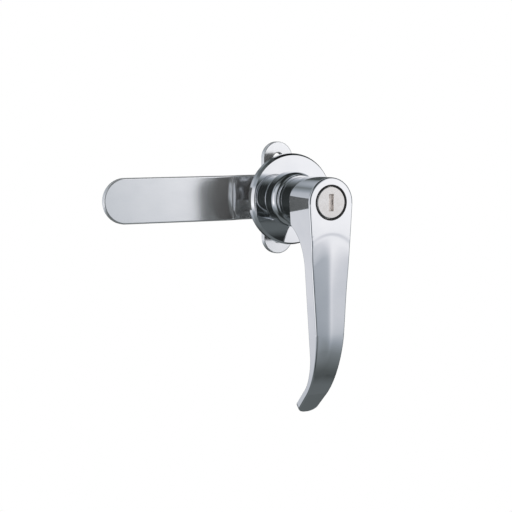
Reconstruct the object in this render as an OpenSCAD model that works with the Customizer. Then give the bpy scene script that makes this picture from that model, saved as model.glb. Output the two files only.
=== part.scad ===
// L-handle cabinet lock: a quarter-turn lever handle with a key cylinder in its head,
// a round flange for the outside of the door and a cranked tongue for the inside.
// X is to the right and Y runs back through the door, seen from the front. Z is up.
// The origin is on the turning axis, on the plane of the door's outer face.

/* [Flange] */
// Diameter of the round flange
flange_d = 44; // [40:0.5:56]
// Thickness of the flange disc
flange_t = 4; // [3.6:0.1:6]
// Width of the sloping front edge of the flange, seen from the front
flange_bevel_w = 0.9; // [0.3:0.1:1.5]
// Depth of the sloping front edge of the flange
flange_bevel_d = 1.5; // [0.5:0.1:3]
// Outside diameter of the collar on the front of the flange
collar_d = 26.6; // [26:0.1:28]
// Length of the collar in front of the flange
collar_len = 5.5; // [4.5:0.1:8]
// Radius of the rounded front edge of the collar
collar_edge_r = 3.1; // [0.6:0.1:3.2]
// Thickness of the rubber gasket behind the flange
gasket_t = 1; // [0.5:0.1:2]
// Outside diameter of the threaded barrel behind the flange
barrel_d = 20; // [19:0.1:24]
// Width across the two flats of the barrel
barrel_flats = 18; // [17:0.1:18.8]
// Length of barrel left free behind its nut
thread_spare = 2; // [1.5:0.1:5]
// Chamfer at the start of the barrel's thread
barrel_chamfer = 0.7; // [0.3:0.1:1]

/* [Door clamp] */
// Grip between the door's outer face and the mounting plate
grip = 10; // [2:0.5:16]
// Thickness of the mounting plate
plate_t = 3; // [2:0.1:5]
// Radius of the plate around the barrel
plate_hub_r = 13.5; // [12.5:0.1:18]
// Radius of the two ears of the plate
ear_r = 8; // [5:0.1:10]
// Distance between the two screw holes in the ears
hole_pitch = 39; // [34:0.5:48]
// Diameter of the screw holes in the ears
hole_d = 5; // [3:0.1:6.5]
// Thickness of the toothed lock washer
lock_washer_t = 1; // [0.6:0.1:1.6]
// Number of teeth on the lock washer
washer_teeth = 12; // [8:1:16]
// Width across the flats of the barrel nut
barrel_nut_af = 24; // [23:0.5:30]
// Thickness of the barrel nut
barrel_nut_t = 3.5; // [2.5:0.1:6]

/* [Handle] */
// Distance from the front of the flange to the face of the head
head_reach = 36.6; // [34:0.1:44]
// Distance from the front of the flange to the back of the head
neck_reach = 17.3; // [15:0.1:22]
// Radius of the round head
head_r = 11.6; // [11.3:0.1:14]
// Radius of the neck behind the head
neck_r = 11; // [10.6:0.1:11.2]
// Radius of the rim at the end of the neck
rim_r = 11.8; // [11.4:0.1:12.2]
// Width of the rim at the end of the neck
rim_w = 0.9; // [0.5:0.1:2]
// Radius of the thrust collar between the neck and the flange
thrust_r = 10; // [9.6:0.1:10.4]
// Width of the groove between the neck and the flange
groove_w = 0.9; // [0.5:0.1:1.6]
// Distance from the turning axis to the tip of the lever
lever_len = 102; // [98:0.1:130]
// Radius of the rounded lever tip
tip_r = 5.2; // [4:0.1:8]
// Thickness of the lever behind its front face
lever_t = 8.8; // [7:0.1:10]
// Height below the axis where the back of the head turns into the lever
heel_drop = 11.1; // [6:0.1:12]
// Radius of the curve from the back of the head into the back of the lever
heel_r = 24; // [12:0.5:26]
// Distance below the axis where the front of the lever starts to bend
bend_drop = 61; // [50:0.5:63]
// Angle of the bend, back towards the door
bend_angle = 47; // [35:1:50]
// Radius of the bend on the front of the lever
bend_r = 42; // [36:0.5:44]
// Distance below the axis where the back of the lever starts to bend
back_bend_drop = 72.5; // [67:0.5:74]
// Radius of the bend on the back of the lever
back_bend_r = 24; // [20:0.5:28]

/* [Lever panel] */
// Distance below the axis where the panel's top arch begins
panel_top_drop = 14; // [12.6:0.1:20]
// Radius of the panel's top arch
panel_top_r = 14; // [12.5:0.1:20]
// Distance below the axis where the panel ends
panel_end_drop = 80; // [64:0.5:90]
// Radius of the panel's lower end
panel_end_r = 9; // [8.5:0.1:14]
// Depth of the panel at its centre ridge
ridge_depth = 0.15; // [0.1:0.05:0.6]
// Depth of the panel at a distance of one head radius from the ridge
panel_depth = 0.9; // [0.7:0.1:2]

/* [Shank] */
// Diameter of the front journal in the flange collar
front_journal_d = 18; // [17.6:0.1:18.6]
// Diameter of the long journal in the barrel
journal_d = 14; // [13.6:0.1:14.6]
// Diameter of the seal ring's section
seal_d = 1.44; // [1.2:0.02:1.6]
// Width of the square spindle
spindle_w = 8; // [7:0.1:8.2]
// Diameter of the cross pin that holds the spindle and stops the turn
pin_d = 2.6; // [2:0.1:3]
// Thickness of the thrust washer behind the barrel
thrust_washer_t = 0.6; // [0.4:0.1:1]
// Thickness of the retaining ring on the shank
ring_t = 1; // [0.8:0.1:1.5]
// Depth of the groove for the retaining ring
ring_groove = 0.8; // [0.4:0.1:0.9]

/* [Tongue] */
// Width of the tongue
tongue_w = 22; // [20:0.1:26]
// Thickness of the tongue
tongue_t = 3; // [2:0.1:4]
// Distance from the axis to the end of the tongue
tongue_len = 88; // [50:0.1:110]
// Distance from the axis to the start of the crank
crank_start = 11; // [10.8:0.1:20]
// Length of the crank along the tongue
crank_len = 13; // [9:0.1:20]
// Distance that the tongue's end stands in front of its pad, towards the door
crank_offset = 3; // [0.5:0.1:8]
// Diameter of the flat washer behind the tongue
cam_washer_d = 20; // [16:0.5:24]
// Thickness of the flat washer behind the tongue
cam_washer_t = 1.2; // [0.8:0.1:2]
// Thickness of the spring washer behind the flat washer
spring_washer_t = 1.6; // [1:0.1:2.5]
// Width across the flats of the tongue's nut
cam_nut_af = 13; // [12.5:0.5:15]
// Thickness of the tongue's nut
cam_nut_t = 5; // [3.5:0.1:7]
// Length of spindle thread behind the tongue's nut
spindle_spare = 1.3; // [0.8:0.1:6]

/* [Key cylinder] */
// Diameter of the cylinder shell
shell_d = 16; // [15.6:0.1:16.4]
// Length of the cylinder shell
shell_len = 22; // [20.5:0.1:23]
// Diameter of the key plug
plug_d = 12; // [11.8:0.1:12.4]
// Diameter of the plug's face cap
cap_d = 14.8; // [14:0.1:15.6]
// Thickness of the face cap
cap_t = 1.2; // [0.8:0.1:1.5]
// Diameter of the recess around the face cap
recess_d = 16.6; // [16.5:0.1:17.4]
// Depth of the recess around the face cap
recess_depth = 1.6; // [1.6:0.1:2.4]
// Depth of the rubber seal below the face of the head
cap_seal_depth = 0.3; // [0.2:0.1:0.8]
// Height of the key slot
slot_h = 8; // [7:0.1:8.4]
// Width of the key slot
slot_w = 2.6; // [2:0.1:2.8]
// Number of wafer tumblers
wafers = 5; // [3:1:5]
// Thickness of a wafer tumbler
wafer_t = 1; // [0.8:0.05:1.1]
// Distance from one wafer tumbler to the next
wafer_pitch = 2.2; // [2.1:0.05:2.4]

/* [Lock bolt] */
// Width of the lock bolt
bolt_w = 9; // [8.4:0.1:9.2]
// Thickness of the lock bolt
bolt_t = 3; // [2.4:0.1:3]
// Distance of the driver's crank pin from the axis
crank_e = 2.2; // [1.8:0.05:2.3]
// Diameter of the driver's crank pin
crank_pin_d = 2; // [1.6:0.1:2.2]

/* [Clearances] */
// Radial clearance of the parts that turn in one another
run_clear = 0.05; // [0.02:0.01:0.09]
// Clearance of the parts that are fixed in one another
fit_clear = 0.02; // [0.01:0.01:0.05]
// Clearance on each side of the sliding bolt
slide_clear = 0.06; // [0.03:0.01:0.1]
// Free play of the crank pin and of the bolt in its notch
play = 0.2; // [0.12:0.01:0.3]

/* [Hidden] */
$fn = 96;

chrome = [0.80, 0.81, 0.83];
zinc = [0.72, 0.73, 0.75];
brass = [0.80, 0.66, 0.36];
nickel = [0.84, 0.82, 0.79];
rubber = [0.06, 0.06, 0.06];
spring_steel = [0.45, 0.46, 0.48];

// A length that reaches past everything it cuts
past = 60;
// Overlap of a cut past the face that it opens
eps = 0.1;
// Overlap past an edge where there is plenty of room
over = 1;

// Stations along Y, from the gasket's back forwards
flange_back = -gasket_t;
flange_face = flange_back - flange_t;
collar_face = flange_face - collar_len;
neck_end = collar_face - groove_w;
head_back = flange_face - neck_reach;
head_face = flange_face - head_reach;

// Stations along Y, from the door's face backwards
plate_front = grip;
washer_front = plate_front + plate_t;
nut_front = washer_front + lock_washer_t;
barrel_end = nut_front + barrel_nut_t + thread_spare;
ring_front = barrel_end + thrust_washer_t;
// Shank left behind the retaining ring's groove
shank_lip = 0.8;
shank_end = ring_front + ring_t + shank_lip;
tongue_back = shank_end + tongue_t;
cam_spring_front = tongue_back + cam_washer_t;
cam_nut_front = cam_spring_front + spring_washer_t;
spindle_end = cam_nut_front + cam_nut_t + spindle_spare;

// End of the bend on the front of the lever, and the straight run from there to the tip
bend_end_y = head_face + bend_r * (1 - cos(bend_angle));
bend_end_drop = bend_drop + bend_r * sin(bend_angle);
tip_run = (lever_len - bend_end_drop) / cos(bend_angle);

// Radii of the fits
front_journal_r = front_journal_d / 2;
journal_r = journal_d / 2;
barrel_r = barrel_d / 2;
shell_r = shell_d / 2;
plug_r = plug_d / 2;
cap_r = cap_d / 2;
// The bore steps down from the front journal to the long one just behind the flange's back
step_y = flange_back + 0.4;

// Seal ring in the middle of the collar, with room in its groove on each side
seal_y = (collar_face + flange_face) / 2 - 0.3;
seal_room = 0.2;

// Cross pin of the spindle, set in from the barrel's end and cut shorter than the shank
pin_inset = 0.6;
pin_y = barrel_end - pin_d / 2 - pin_inset;
pin_shy = 0.15;
// Retaining ring: how far it stands out of its groove, its eyes and the gap between them
ring_stand = 1.4;
eye_r = 1.3;
eye_x = 2.2;
eye_hole_r = 0.6;
ring_gap = 2.6;

// Margins of gasket and washers inside or outside the pieces that they lie on
gasket_inset = 0.4;
thrust_inset = 0.4;
lock_washer_lip = 0.8;
tooth_depth = 1.2;
tooth_gap = 1.6;
spring_washer_lip = 0.4;
spring_washer_cut = 0.8;
spring_washer_lean = 35;

// Chamfer of the nuts: its share of the corner, and its height for one unit of width
nut_chamfer_share = 0.9;
nut_chamfer_slope = 1.7;

// Bolt, driver and notch, set in the thickness of the flange disc
bolt_y0 = flange_face + play;
bolt_y1 = bolt_y0 + bolt_t;
bolt_travel = crank_e * sqrt(2);
bolt_rest = -crank_e * sqrt(0.5);
bolt_top = sqrt(pow(front_journal_r - run_clear, 2) - pow(bolt_w / 2, 2)) - eps;
// Wall of the bolt below the crank pin's slot, and rim of the driver's disc outside the crank pin
bolt_wall = 1.6;
driver_rim = 2.3;
bolt_foot = bolt_rest - crank_pin_d / 2 - bolt_wall;
driver_r = crank_e + crank_pin_d / 2 + driver_rim;
driver_y1 = bolt_y0 - play;
driver_t = 3;
driver_stem_r = 3.4;
// The tang that drives the plug's end is shorter than the plug is wide
tang_w = 3;
tang_len = 0.9;
tang_inset = 0.5;

// Square spindle: the wall in front of its socket, where its square ends, and its end chamfer
socket_front = bolt_y1 + 2;
square_inset = 0.4;
spindle_chamfer = 0.6;

// Cylinder stations
cap_back = head_face + cap_t;
shell_front = head_face + recess_depth;
shell_back = shell_front + shell_len;
cap_edge = 0.3;
// Clip at the plug's back: thickness, groove, how far it stands out and its gap
clip_t = 0.8;
clip_groove = 0.9;
clip_stand = 1.3;
clip_gap = 6.8;
clip_land = 1.1;
plug_back = shell_back + clip_t + clip_land;
plug_end_room = 0.5;
cylinder_floor = plug_back + plug_end_room;
// The keyway ends short of the shell's back
keyway_end = shell_back - 2.5;
// Pin that holds the shell: its place, diameter, set-in at the neck and room above it
cylinder_pin_y = shell_back - 1.6;
cylinder_pin_d = 2;
cylinder_pin_sunk = 0.3;
cylinder_pin_room = 0.4;

// Wafers: room for the shutter in front of them, width, side lug and clearances in the plug
shutter_room = 4.6;
wafer_wall = 0.9;
wafer_first = cap_back + shutter_room + wafer_wall;
wafer_w = 5.8;
wafer_side_clear = 0.1;
wafer_face_clear = 0.05;
wafer_end_inset = 0.1;
lug_h = 1.2;
lug_reach = 0.6;
lug_room = 0.3;
// Broached ways in the shell for the wafers' ends
way_clear = 0.2;
way_depth = 0.8;
way_end = shell_back - 3;
// Springs under the wafers' lugs, and the half width of their pockets
spring_pocket = 0.75;
spring_x = wafer_w / 2 + spring_pocket;
spring_foot = -3.6;
spring_wire_r = 0.11;
spring_coil_r = 0.32;
spring_turns = 5;

// Hinge of the shutter flap, just behind the cap
flap_t = 0.5;
knuckle_r = 0.85;
hinge_d = 0.8;
hinge_x = slot_w / 2 + knuckle_r;
hinge_y = cap_back + play + knuckle_r;
flap_lap = 0.5;
flap_h = slot_h + flap_lap;
flap_room = flap_h / 2 + play;
hinge_seat = 0.6;
// Torsion spring on the hinge, in a gap between the two knuckles
spring_gap = 2.6;
flap_spring_len = 1.8;
flap_spring_wire_r = 0.12;

// A round bar along Y
module bar(r, y0, y1) {
    translate([0, y1, 0]) rotate([90, 0, 0]) cylinder(r = r, h = y1 - y0);
}

// A flat ring along Y
module ring(r_out, r_in, y0, y1) {
    difference() {
        bar(r_out, y0, y1);
        bar(r_in, y0 - eps, y1 + eps);
    }
}

// An outline drawn in X and Z, as thick as from y0 to y1
module plate_xz(y0, y1) {
    translate([0, y1, 0]) rotate([90, 0, 0]) linear_extrude(y1 - y0) children();
}

// A box given by its two corners
module box(a, b) {
    translate(a) cube(b - a);
}

// A hexagon nut along Y with chamfered corners, flats to the left and right
module hex_nut(af, bore_r, y0, y1) {
    corner = af / sqrt(3);
    chamfer = (corner - af / 2) * nut_chamfer_share;
    difference() {
        intersection() {
            translate([0, y1, 0]) rotate([90, 0, 0]) rotate(30)
                cylinder(r = corner, h = y1 - y0, $fn = 6);
            translate([0, y1, 0]) rotate([90, 0, 0])
                cylinder(r1 = corner - chamfer / 2, r2 = corner + (y1 - y0) * nut_chamfer_slope, h = y1 - y0);
        }
        bar(bore_r, y0 - eps, y1 + eps);
    }
}

// Points of one ring of a coil's wire
function wire_ring(r, wire_r, turn, height, sides) = [
    for (s = [0 : sides - 1])
        let (a = 360 * s / sides, q = r + wire_r * cos(a))
            [q * cos(turn), q * sin(turn), height + wire_r * sin(a)]
];

// A coil spring along Z, from its foot at height 0
module coil(r, wire_r, turns, rise, steps = 12, sides = 6) {
    n = turns * steps;
    points = [
        for (i = [0 : n])
            each wire_ring(r, wire_r, 360 * i / steps, wire_r + (rise - 2 * wire_r) * i / n, sides)
    ];
    walls = [
        for (i = [0 : n - 1], s = [0 : sides - 1])
            let (a = i * sides + s, b = i * sides + (s + 1) % sides)
                each [[a, a + sides, b + sides], [a, b + sides, b]]
    ];
    foot = [for (s = [0 : sides - 1]) s];
    head = [for (s = [sides - 1 : -1 : 0]) n * sides + s];
    polyhedron(points, concat(walls, [foot], [head]));
}

// Flange, collar and barrel in one casting, bored for the handle
module flange_base() {
    color(chrome) difference() {
        union() {
            rotate([90, 0, 0]) rotate_extrude() flange_section();
            collar();
            barrel();
        }
        bar(front_journal_r + run_clear, collar_face - eps, step_y);
        bar(journal_r + run_clear, step_y - eps, barrel_end + eps);
        bolt_notch();
        rotate([0, -90, 0]) bolt_notch();
        stop_window();
    }
}

// Half of the flange disc's section, with a sloping front edge
module flange_section() {
    r = flange_d / 2;
    polygon([[0, -flange_back], [r, -flange_back], [r, -flange_face - flange_bevel_d],
        [r - flange_bevel_w, -flange_face], [0, -flange_face]]);
}

// Collar with a rounded front edge
module collar() {
    flat_r = collar_d / 2 - collar_edge_r;
    height = flange_back - collar_face;
    rotate([90, 0, 0]) rotate_extrude() union() {
        translate([0, -flange_back]) square([collar_d / 2, height - collar_edge_r]);
        translate([0, -flange_back]) square([flat_r, height]);
        translate([flat_r, -collar_face - collar_edge_r]) circle(collar_edge_r);
    }
}

// Barrel outline with its two flats, widened all round by a clearance
module barrel_outline(clear) {
    intersection() {
        circle(barrel_r + clear);
        square([barrel_d * 2, barrel_flats + 2 * clear], center = true);
    }
}

// Barrel, chamfered at its end for the start of the thread
module barrel() {
    wide_r = barrel_r + over;
    chamfer_len = barrel_chamfer + over;
    intersection() {
        plate_xz(flange_back - eps, barrel_end) barrel_outline(0);
        union() {
            bar(wide_r, flange_back - over, barrel_end - chamfer_len);
            translate([0, barrel_end, 0]) rotate([90, 0, 0])
                cylinder(r1 = wide_r - chamfer_len, r2 = wide_r, h = chamfer_len);
        }
    }
}

// Notch in the collar's bore that takes the end of the thrown bolt
module bolt_notch() {
    box([-bolt_w / 2 - play, bolt_y0 - play / 2, 0],
        [bolt_w / 2 + play, bolt_y1 + play / 2, bolt_top + bolt_travel + play]);
}

// Quarter-turn window in the end of the barrel for the stop pin
module stop_window() {
    half = pin_d / 2 + play / 2;
    box([-past, pin_y - half, -half], [half, barrel_end + eps, past]);
}

module flange_gasket() {
    color(rubber) ring(flange_d / 2 - gasket_inset, barrel_r + play, flange_back, 0);
}

// Sheet steel plate with two ears, kept from turning by the barrel's flats
module mounting_plate() {
    ear_z = hole_pitch / 2;
    color(chrome) plate_xz(plate_front, washer_front) difference() {
        union() {
            circle(plate_hub_r);
            square([2 * ear_r, hole_pitch], center = true);
            for (side = [-1, 1]) translate([0, side * ear_z]) circle(ear_r);
        }
        barrel_outline(play);
        for (side = [-1, 1]) translate([0, side * ear_z]) circle(hole_d / 2);
    }
}

// Toothed washer under the barrel nut
module lock_washer() {
    outer_r = barrel_nut_af / 2 + lock_washer_lip;
    half = tooth_gap / 2;
    color(spring_steel) difference() {
        ring(outer_r, barrel_r + play, washer_front, nut_front);
        for (i = [0 : washer_teeth - 1]) rotate([0, 360 * i / washer_teeth, 0])
            box([outer_r - tooth_depth, washer_front - eps, -half], [outer_r + eps, nut_front + eps, half]);
    }
}

module barrel_nut() {
    color(zinc) hex_nut(barrel_nut_af, barrel_r + fit_clear, nut_front, nut_front + barrel_nut_t);
}

// Outline of the head and the tapering sides of the lever, seen from the front
module lever_outline() {
    tip_z = -bend_end_drop - (tip_run - tip_r) * cos(bend_angle);
    lean = asin((head_r - tip_r) / -tip_z);
    beyond = 1.2;
    side_x = [head_r * cos(lean), tip_r * cos(lean)];
    side_z = [-head_r * sin(lean), tip_z - tip_r * sin(lean)];
    end_x = side_x[0] + beyond * (side_x[1] - side_x[0]);
    end_z = side_z[0] + beyond * (side_z[1] - side_z[0]);
    circle(head_r);
    polygon([[side_x[0], side_z[0]], [end_x, end_z], [-end_x, end_z], [-side_x[0], side_z[0]]]);
}

// Round end of the lever, cut square to the bent tip
module tip_outline() {
    translate([0, tip_r - tip_run]) circle(tip_r);
    translate([-past, tip_r - tip_run]) square([2 * past, 2 * past]);
}

// The space behind a line that runs straight down at y0 and then bends back
module behind(y0, drop, r) {
    along = [sin(bend_angle), -cos(bend_angle)];
    out = [-cos(bend_angle), -sin(bend_angle)];
    middle_out = [-cos(bend_angle / 2), -sin(bend_angle / 2)];
    start = [y0, -drop];
    centre = [y0 + r, -drop];
    corner = [y0, -drop - r * tan(bend_angle / 2)];
    end = centre + r * out;
    difference() {
        polygon([[y0, 0], corner, corner + past * along, corner + [past * 2, 0], [y0 + past * 2, 0]]);
        difference() {
            polygon([centre, start, start - [over, 0], corner + 2 * over * middle_out, end + over * out, end]);
            translate(centre) circle(r);
        }
    }
}

// Side profile of the head and the lever, in Y and Z
module side_profile() {
    back = head_face + lever_t;
    heel_depth = head_back - back;
    heel_z = -heel_drop - sqrt(heel_r * heel_r - pow(heel_r - heel_depth, 2));
    difference() {
        translate([head_face, heel_z]) square([head_back - head_face, head_r - heel_z]);
        translate([back + heel_r, heel_z]) circle(heel_r);
    }
    intersection() {
        difference() {
            behind(head_face, bend_drop, bend_r);
            behind(back, back_bend_drop, back_bend_r);
        }
        translate([head_face - over, -past * 2]) square([past * 2, past * 2 + heel_z]);
    }
}

// Outline of the lever's panel, arched at both ends
module panel_outline() {
    top_z = -panel_top_drop - panel_top_r;
    end_z = panel_end_r - panel_end_drop;
    translate([0, top_z]) circle(panel_top_r);
    translate([0, end_z]) circle(panel_end_r);
    translate([-panel_top_r, end_z]) square([2 * panel_top_r, top_z - end_z]);
}

// Section of the cut that leaves the two facets of the panel: depth along X, width along Y
module panel_section() {
    reach = 2 * head_r;
    edge_depth = ridge_depth + 2 * (panel_depth - ridge_depth);
    polygon([[-over, -reach], [edge_depth, -reach], [ridge_depth, 0], [edge_depth, reach], [-over, reach]]);
}

// The cut for the panel: straight down the lever, then round its bend
module panel_cut() {
    intersection() {
        union() {
            translate([0, head_face, -bend_drop])
                linear_extrude(bend_drop) mirror([1, -1]) panel_section();
            translate([0, head_face + bend_r, -bend_drop]) rotate([-90, 0, -90])
                rotate_extrude(angle = bend_angle) translate([bend_r, 0]) mirror([1, 0]) panel_section();
        }
        plate_xz(head_face - past, head_face + past) panel_outline();
    }
}

// Head, lever, neck and shank in one casting
module handle() {
    socket = spindle_w / 2 + fit_clear;
    color(chrome) difference() {
        union() {
            intersection() {
                plate_xz(head_face - eps, past) lever_outline();
                translate([0, bend_end_y, -bend_end_drop]) rotate([bend_angle, 0, 0])
                    plate_xz(-past, 2 * past) tip_outline();
                rotate([90, 0, 90]) translate([0, 0, -past]) linear_extrude(2 * past) side_profile();
            }
            bar(neck_r, head_back - eps, neck_end);
            neck_rim();
            bar(thrust_r, neck_end - eps, collar_face);
            bar(front_journal_r, collar_face - eps, step_y - play);
            bar(journal_r, step_y - play - eps, shank_end);
        }
        panel_cut();
        bar(recess_d / 2, head_face - eps, shell_front);
        bar(shell_r + fit_clear, shell_front - eps, cylinder_floor);
        bar(driver_r + run_clear, cylinder_floor - eps, bolt_y0);
        bolt_channel();
        box([-socket, socket_front, -socket], [socket, shank_end + eps, socket]);
        spindle_pin_hole();
        ring(journal_r + eps, journal_r - ring_groove, ring_front, ring_front + ring_t);
        seal_groove();
        cylinder_pin_hole();
    }
}

// Thin chamfered rim at the end of the neck
module neck_rim() {
    chamfer = rim_w / 3;
    bar(rim_r, neck_end - rim_w, neck_end - chamfer);
    translate([0, neck_end, 0]) rotate([90, 0, 0])
        cylinder(r1 = rim_r - chamfer, r2 = rim_r, h = chamfer);
}

// Guide for the lock bolt, open at the top of the journal
module bolt_channel() {
    box([-bolt_w / 2 - slide_clear, bolt_y0 - slide_clear, bolt_foot - play],
        [bolt_w / 2 + slide_clear, bolt_y1 + slide_clear, front_journal_r + over]);
}

module spindle_pin_hole() {
    translate([0, pin_y, -past]) cylinder(d = pin_d + 2 * fit_clear, h = 2 * past);
}

module seal_groove() {
    half = seal_d / 2 + seal_room;
    ring(front_journal_r + eps, front_journal_r - seal_d, seal_y - half, seal_y + half);
}

module cylinder_pin_hole() {
    translate([0, cylinder_pin_y, -past]) cylinder(d = cylinder_pin_d + 2 * fit_clear, h = past - plug_r);
}

// Rubber ring in the groove of the front journal
module neck_seal() {
    color(rubber) translate([0, seal_y, 0]) rotate([90, 0, 0])
        rotate_extrude() translate([front_journal_r - seal_d / 2, 0]) circle(d = seal_d, $fn = 32);
}

// Square steel spindle with a threaded end
module spindle() {
    half = spindle_w / 2;
    front = socket_front + play;
    color(zinc) difference() {
        union() {
            box([-half, front, -half], [half, tongue_back - square_inset, half]);
            bar(half, tongue_back - square_inset - eps, spindle_end - spindle_chamfer);
            translate([0, spindle_end, 0]) rotate([90, 0, 0])
                cylinder(r1 = half - spindle_chamfer, r2 = half, h = spindle_chamfer);
        }
        spindle_pin_hole();
    }
}

// Cross pin through shank and spindle; its long end stops the turn in the barrel's window
module spindle_pin() {
    foot = journal_r - pin_shy;
    color(spring_steel) translate([0, pin_y, -foot]) cylinder(d = pin_d, h = foot + barrel_r - play);
}

module thrust_washer() {
    color(spring_steel) ring(barrel_r - thrust_inset, journal_r + play, barrel_end, ring_front);
}

// Open retaining ring with two eyes at its gap
module retaining_ring() {
    inner = journal_r - ring_groove + fit_clear;
    outer = journal_r + ring_stand;
    back = ring_front + ring_t;
    color(spring_steel) difference() {
        union() {
            ring(outer, inner, ring_front, back);
            for (side = [-1, 1]) translate([side * eye_x, 0, -outer]) bar(eye_r, ring_front, back);
        }
        bar(inner, ring_front - eps, back + eps);
        box([-ring_gap / 2, ring_front - eps, -past], [ring_gap / 2, back + eps, 0]);
        for (side = [-1, 1]) translate([side * eye_x, 0, -outer]) bar(eye_hole_r, ring_front - eps, back + eps);
    }
}

// Front edge of the tongue's side profile at a distance from the axis, as a smooth step
function crank_y(x) =
    let (s = min(1, max(0, (x - crank_start) / crank_len)))
        -crank_offset * (s < 0.5 ? 2 * s * s : 1 - 2 * (1 - s) * (1 - s));

// Cranked steel strip with round ends and a square hole
module tongue() {
    half = tongue_w / 2;
    hole = spindle_w / 2 + run_clear;
    steps = 16;
    xs = [-half, for (i = [0 : steps]) crank_start + crank_len * i / steps, tongue_len];
    front = [for (x = xs) [-x, shank_end + crank_y(x)]];
    back = [for (i = [len(xs) - 1 : -1 : 0]) [-xs[i], tongue_back + crank_y(xs[i])]];
    color(chrome) difference() {
        intersection() {
            translate([0, 0, -half]) linear_extrude(tongue_w) polygon(concat(front, back));
            plate_xz(shank_end - past, past) union() {
                circle(half);
                translate([half - tongue_len, 0]) circle(half);
                translate([half - tongue_len, -half]) square([tongue_len - half, tongue_w]);
            }
        }
        box([-hole, shank_end - eps, -hole], [hole, tongue_back + eps, hole]);
    }
}

module cam_washer() {
    color(zinc) ring(cam_washer_d / 2, spindle_w / 2 + play, tongue_back, cam_spring_front);
}

// Split spring washer with a slanting cut
module cam_spring_washer() {
    outer = cam_nut_af / 2 + spring_washer_lip;
    half = spring_washer_cut / 2;
    color(spring_steel) difference() {
        ring(outer, spindle_w / 2 + play, cam_spring_front, cam_nut_front);
        translate([0, (cam_spring_front + cam_nut_front) / 2, spindle_w / 2]) rotate([0, 0, spring_washer_lean])
            box([-half, -past, 0], [half, past, past]);
    }
}

module cam_nut() {
    color(zinc) hex_nut(cam_nut_af, spindle_w / 2 + fit_clear, cam_nut_front, cam_nut_front + cam_nut_t);
}

// Brass sleeve of the key cylinder, with two broached ways for the wafers
module cylinder_shell() {
    way = wafer_w / 2 + way_clear;
    color(brass) difference() {
        bar(shell_r, shell_front, shell_back);
        bar(plug_r + run_clear, shell_front - eps, shell_back + eps);
        for (side = [0, 180]) rotate([0, side, 0])
            box([-way, wafer_first - wafer_t, 0], [way, way_end, plug_r + way_depth]);
        cylinder_pin_hole();
    }
}

// Pin that holds the cylinder in the handle, driven in from below the neck
module cylinder_pin() {
    foot = neck_r - cylinder_pin_sunk;
    color(spring_steel) translate([0, cylinder_pin_y, -foot])
        cylinder(d = cylinder_pin_d, h = foot - plug_r - cylinder_pin_room);
}

// Black rubber ring in the recess round the face cap, which keeps water out of the cylinder
module cap_seal() {
    color(rubber) ring(recess_d / 2 - fit_clear, cap_r + play, head_face + cap_seal_depth, shell_front);
}

// Stainless face cap with the key slot
module plug_cap() {
    color(nickel) difference() {
        union() {
            bar(cap_r, head_face + cap_edge, cap_back);
            translate([0, head_face + cap_edge, 0]) rotate([90, 0, 0])
                cylinder(r1 = cap_r, r2 = cap_r - cap_edge, h = cap_edge);
        }
        box([-slot_w / 2, head_face - eps, -slot_h / 2], [slot_w / 2, cap_back + eps, slot_h / 2]);
    }
}

// Brass plug with the keyway, the shutter's room and the wafers' slots
module key_plug() {
    half_w = wafer_w / 2 + wafer_side_clear;
    slot_front = -wafer_face_clear;
    slot_back = wafer_t + wafer_face_clear;
    room_x = hinge_x + knuckle_r + play;
    hinge_half = flap_room + hinge_seat;
    tang_half = tang_w / 2 + fit_clear;
    color(brass) difference() {
        bar(plug_r, cap_back, plug_back);
        box([-slot_w / 2, cap_back - eps, -slot_h / 2], [slot_w / 2, keyway_end, slot_h / 2]);
        box([-slot_w / 2 - play, cap_back - eps, -flap_room], [room_x, cap_back + shutter_room, flap_room]);
        translate([hinge_x, hinge_y, -hinge_half]) cylinder(d = hinge_d + 2 * fit_clear, h = 2 * hinge_half);
        for (i = [0 : wafers - 1]) translate([0, wafer_first + i * wafer_pitch, 0]) {
            box([-half_w, slot_front, -past], [half_w, slot_back, past]);
            box([0, slot_front, spring_foot - eps], [spring_x + spring_pocket, slot_back, lug_h + lug_room]);
        }
        ring(plug_r + eps, plug_r - clip_groove, shell_back, shell_back + clip_t);
        box([-tang_half, plug_back - tang_len, -past], [tang_half, plug_back + eps, past]);
    }
}

// Open clip in the groove at the back of the plug
module plug_clip() {
    inner = plug_r - clip_groove + fit_clear;
    half = clip_gap / 2;
    color(spring_steel) difference() {
        ring(plug_r + clip_stand, inner, shell_back, shell_back + clip_t);
        box([-half, shell_back - eps, -past], [half, shell_back + clip_t + eps, 0]);
    }
}

// One wafer: a sprung plate with a window for the key
module wafer() {
    half = wafer_w / 2;
    window_x = slot_w / 2 + play;
    window_z = slot_h / 2 + play;
    intersection() {
        difference() {
            union() {
                box([-half, 0, -past], [half, wafer_t, past]);
                box([0, 0, 0], [spring_x + lug_reach, wafer_t, lug_h]);
            }
            box([-window_x, -eps, -window_z], [window_x, wafer_t + eps, window_z]);
        }
        bar(plug_r - wafer_end_inset, -over, wafer_t + over);
    }
}

module wafer_tumblers() {
    color(brass) for (i = [0 : wafers - 1])
        translate([0, wafer_first + i * wafer_pitch, 0]) wafer();
}

// One small coil spring under the side lug of each wafer
module wafer_springs() {
    color(spring_steel) for (i = [0 : wafers - 1])
        translate([spring_x, wafer_first + i * wafer_pitch + wafer_t / 2, spring_foot])
            coil(spring_coil_r, spring_wire_r, spring_turns, -spring_foot - fit_clear);
}

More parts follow.
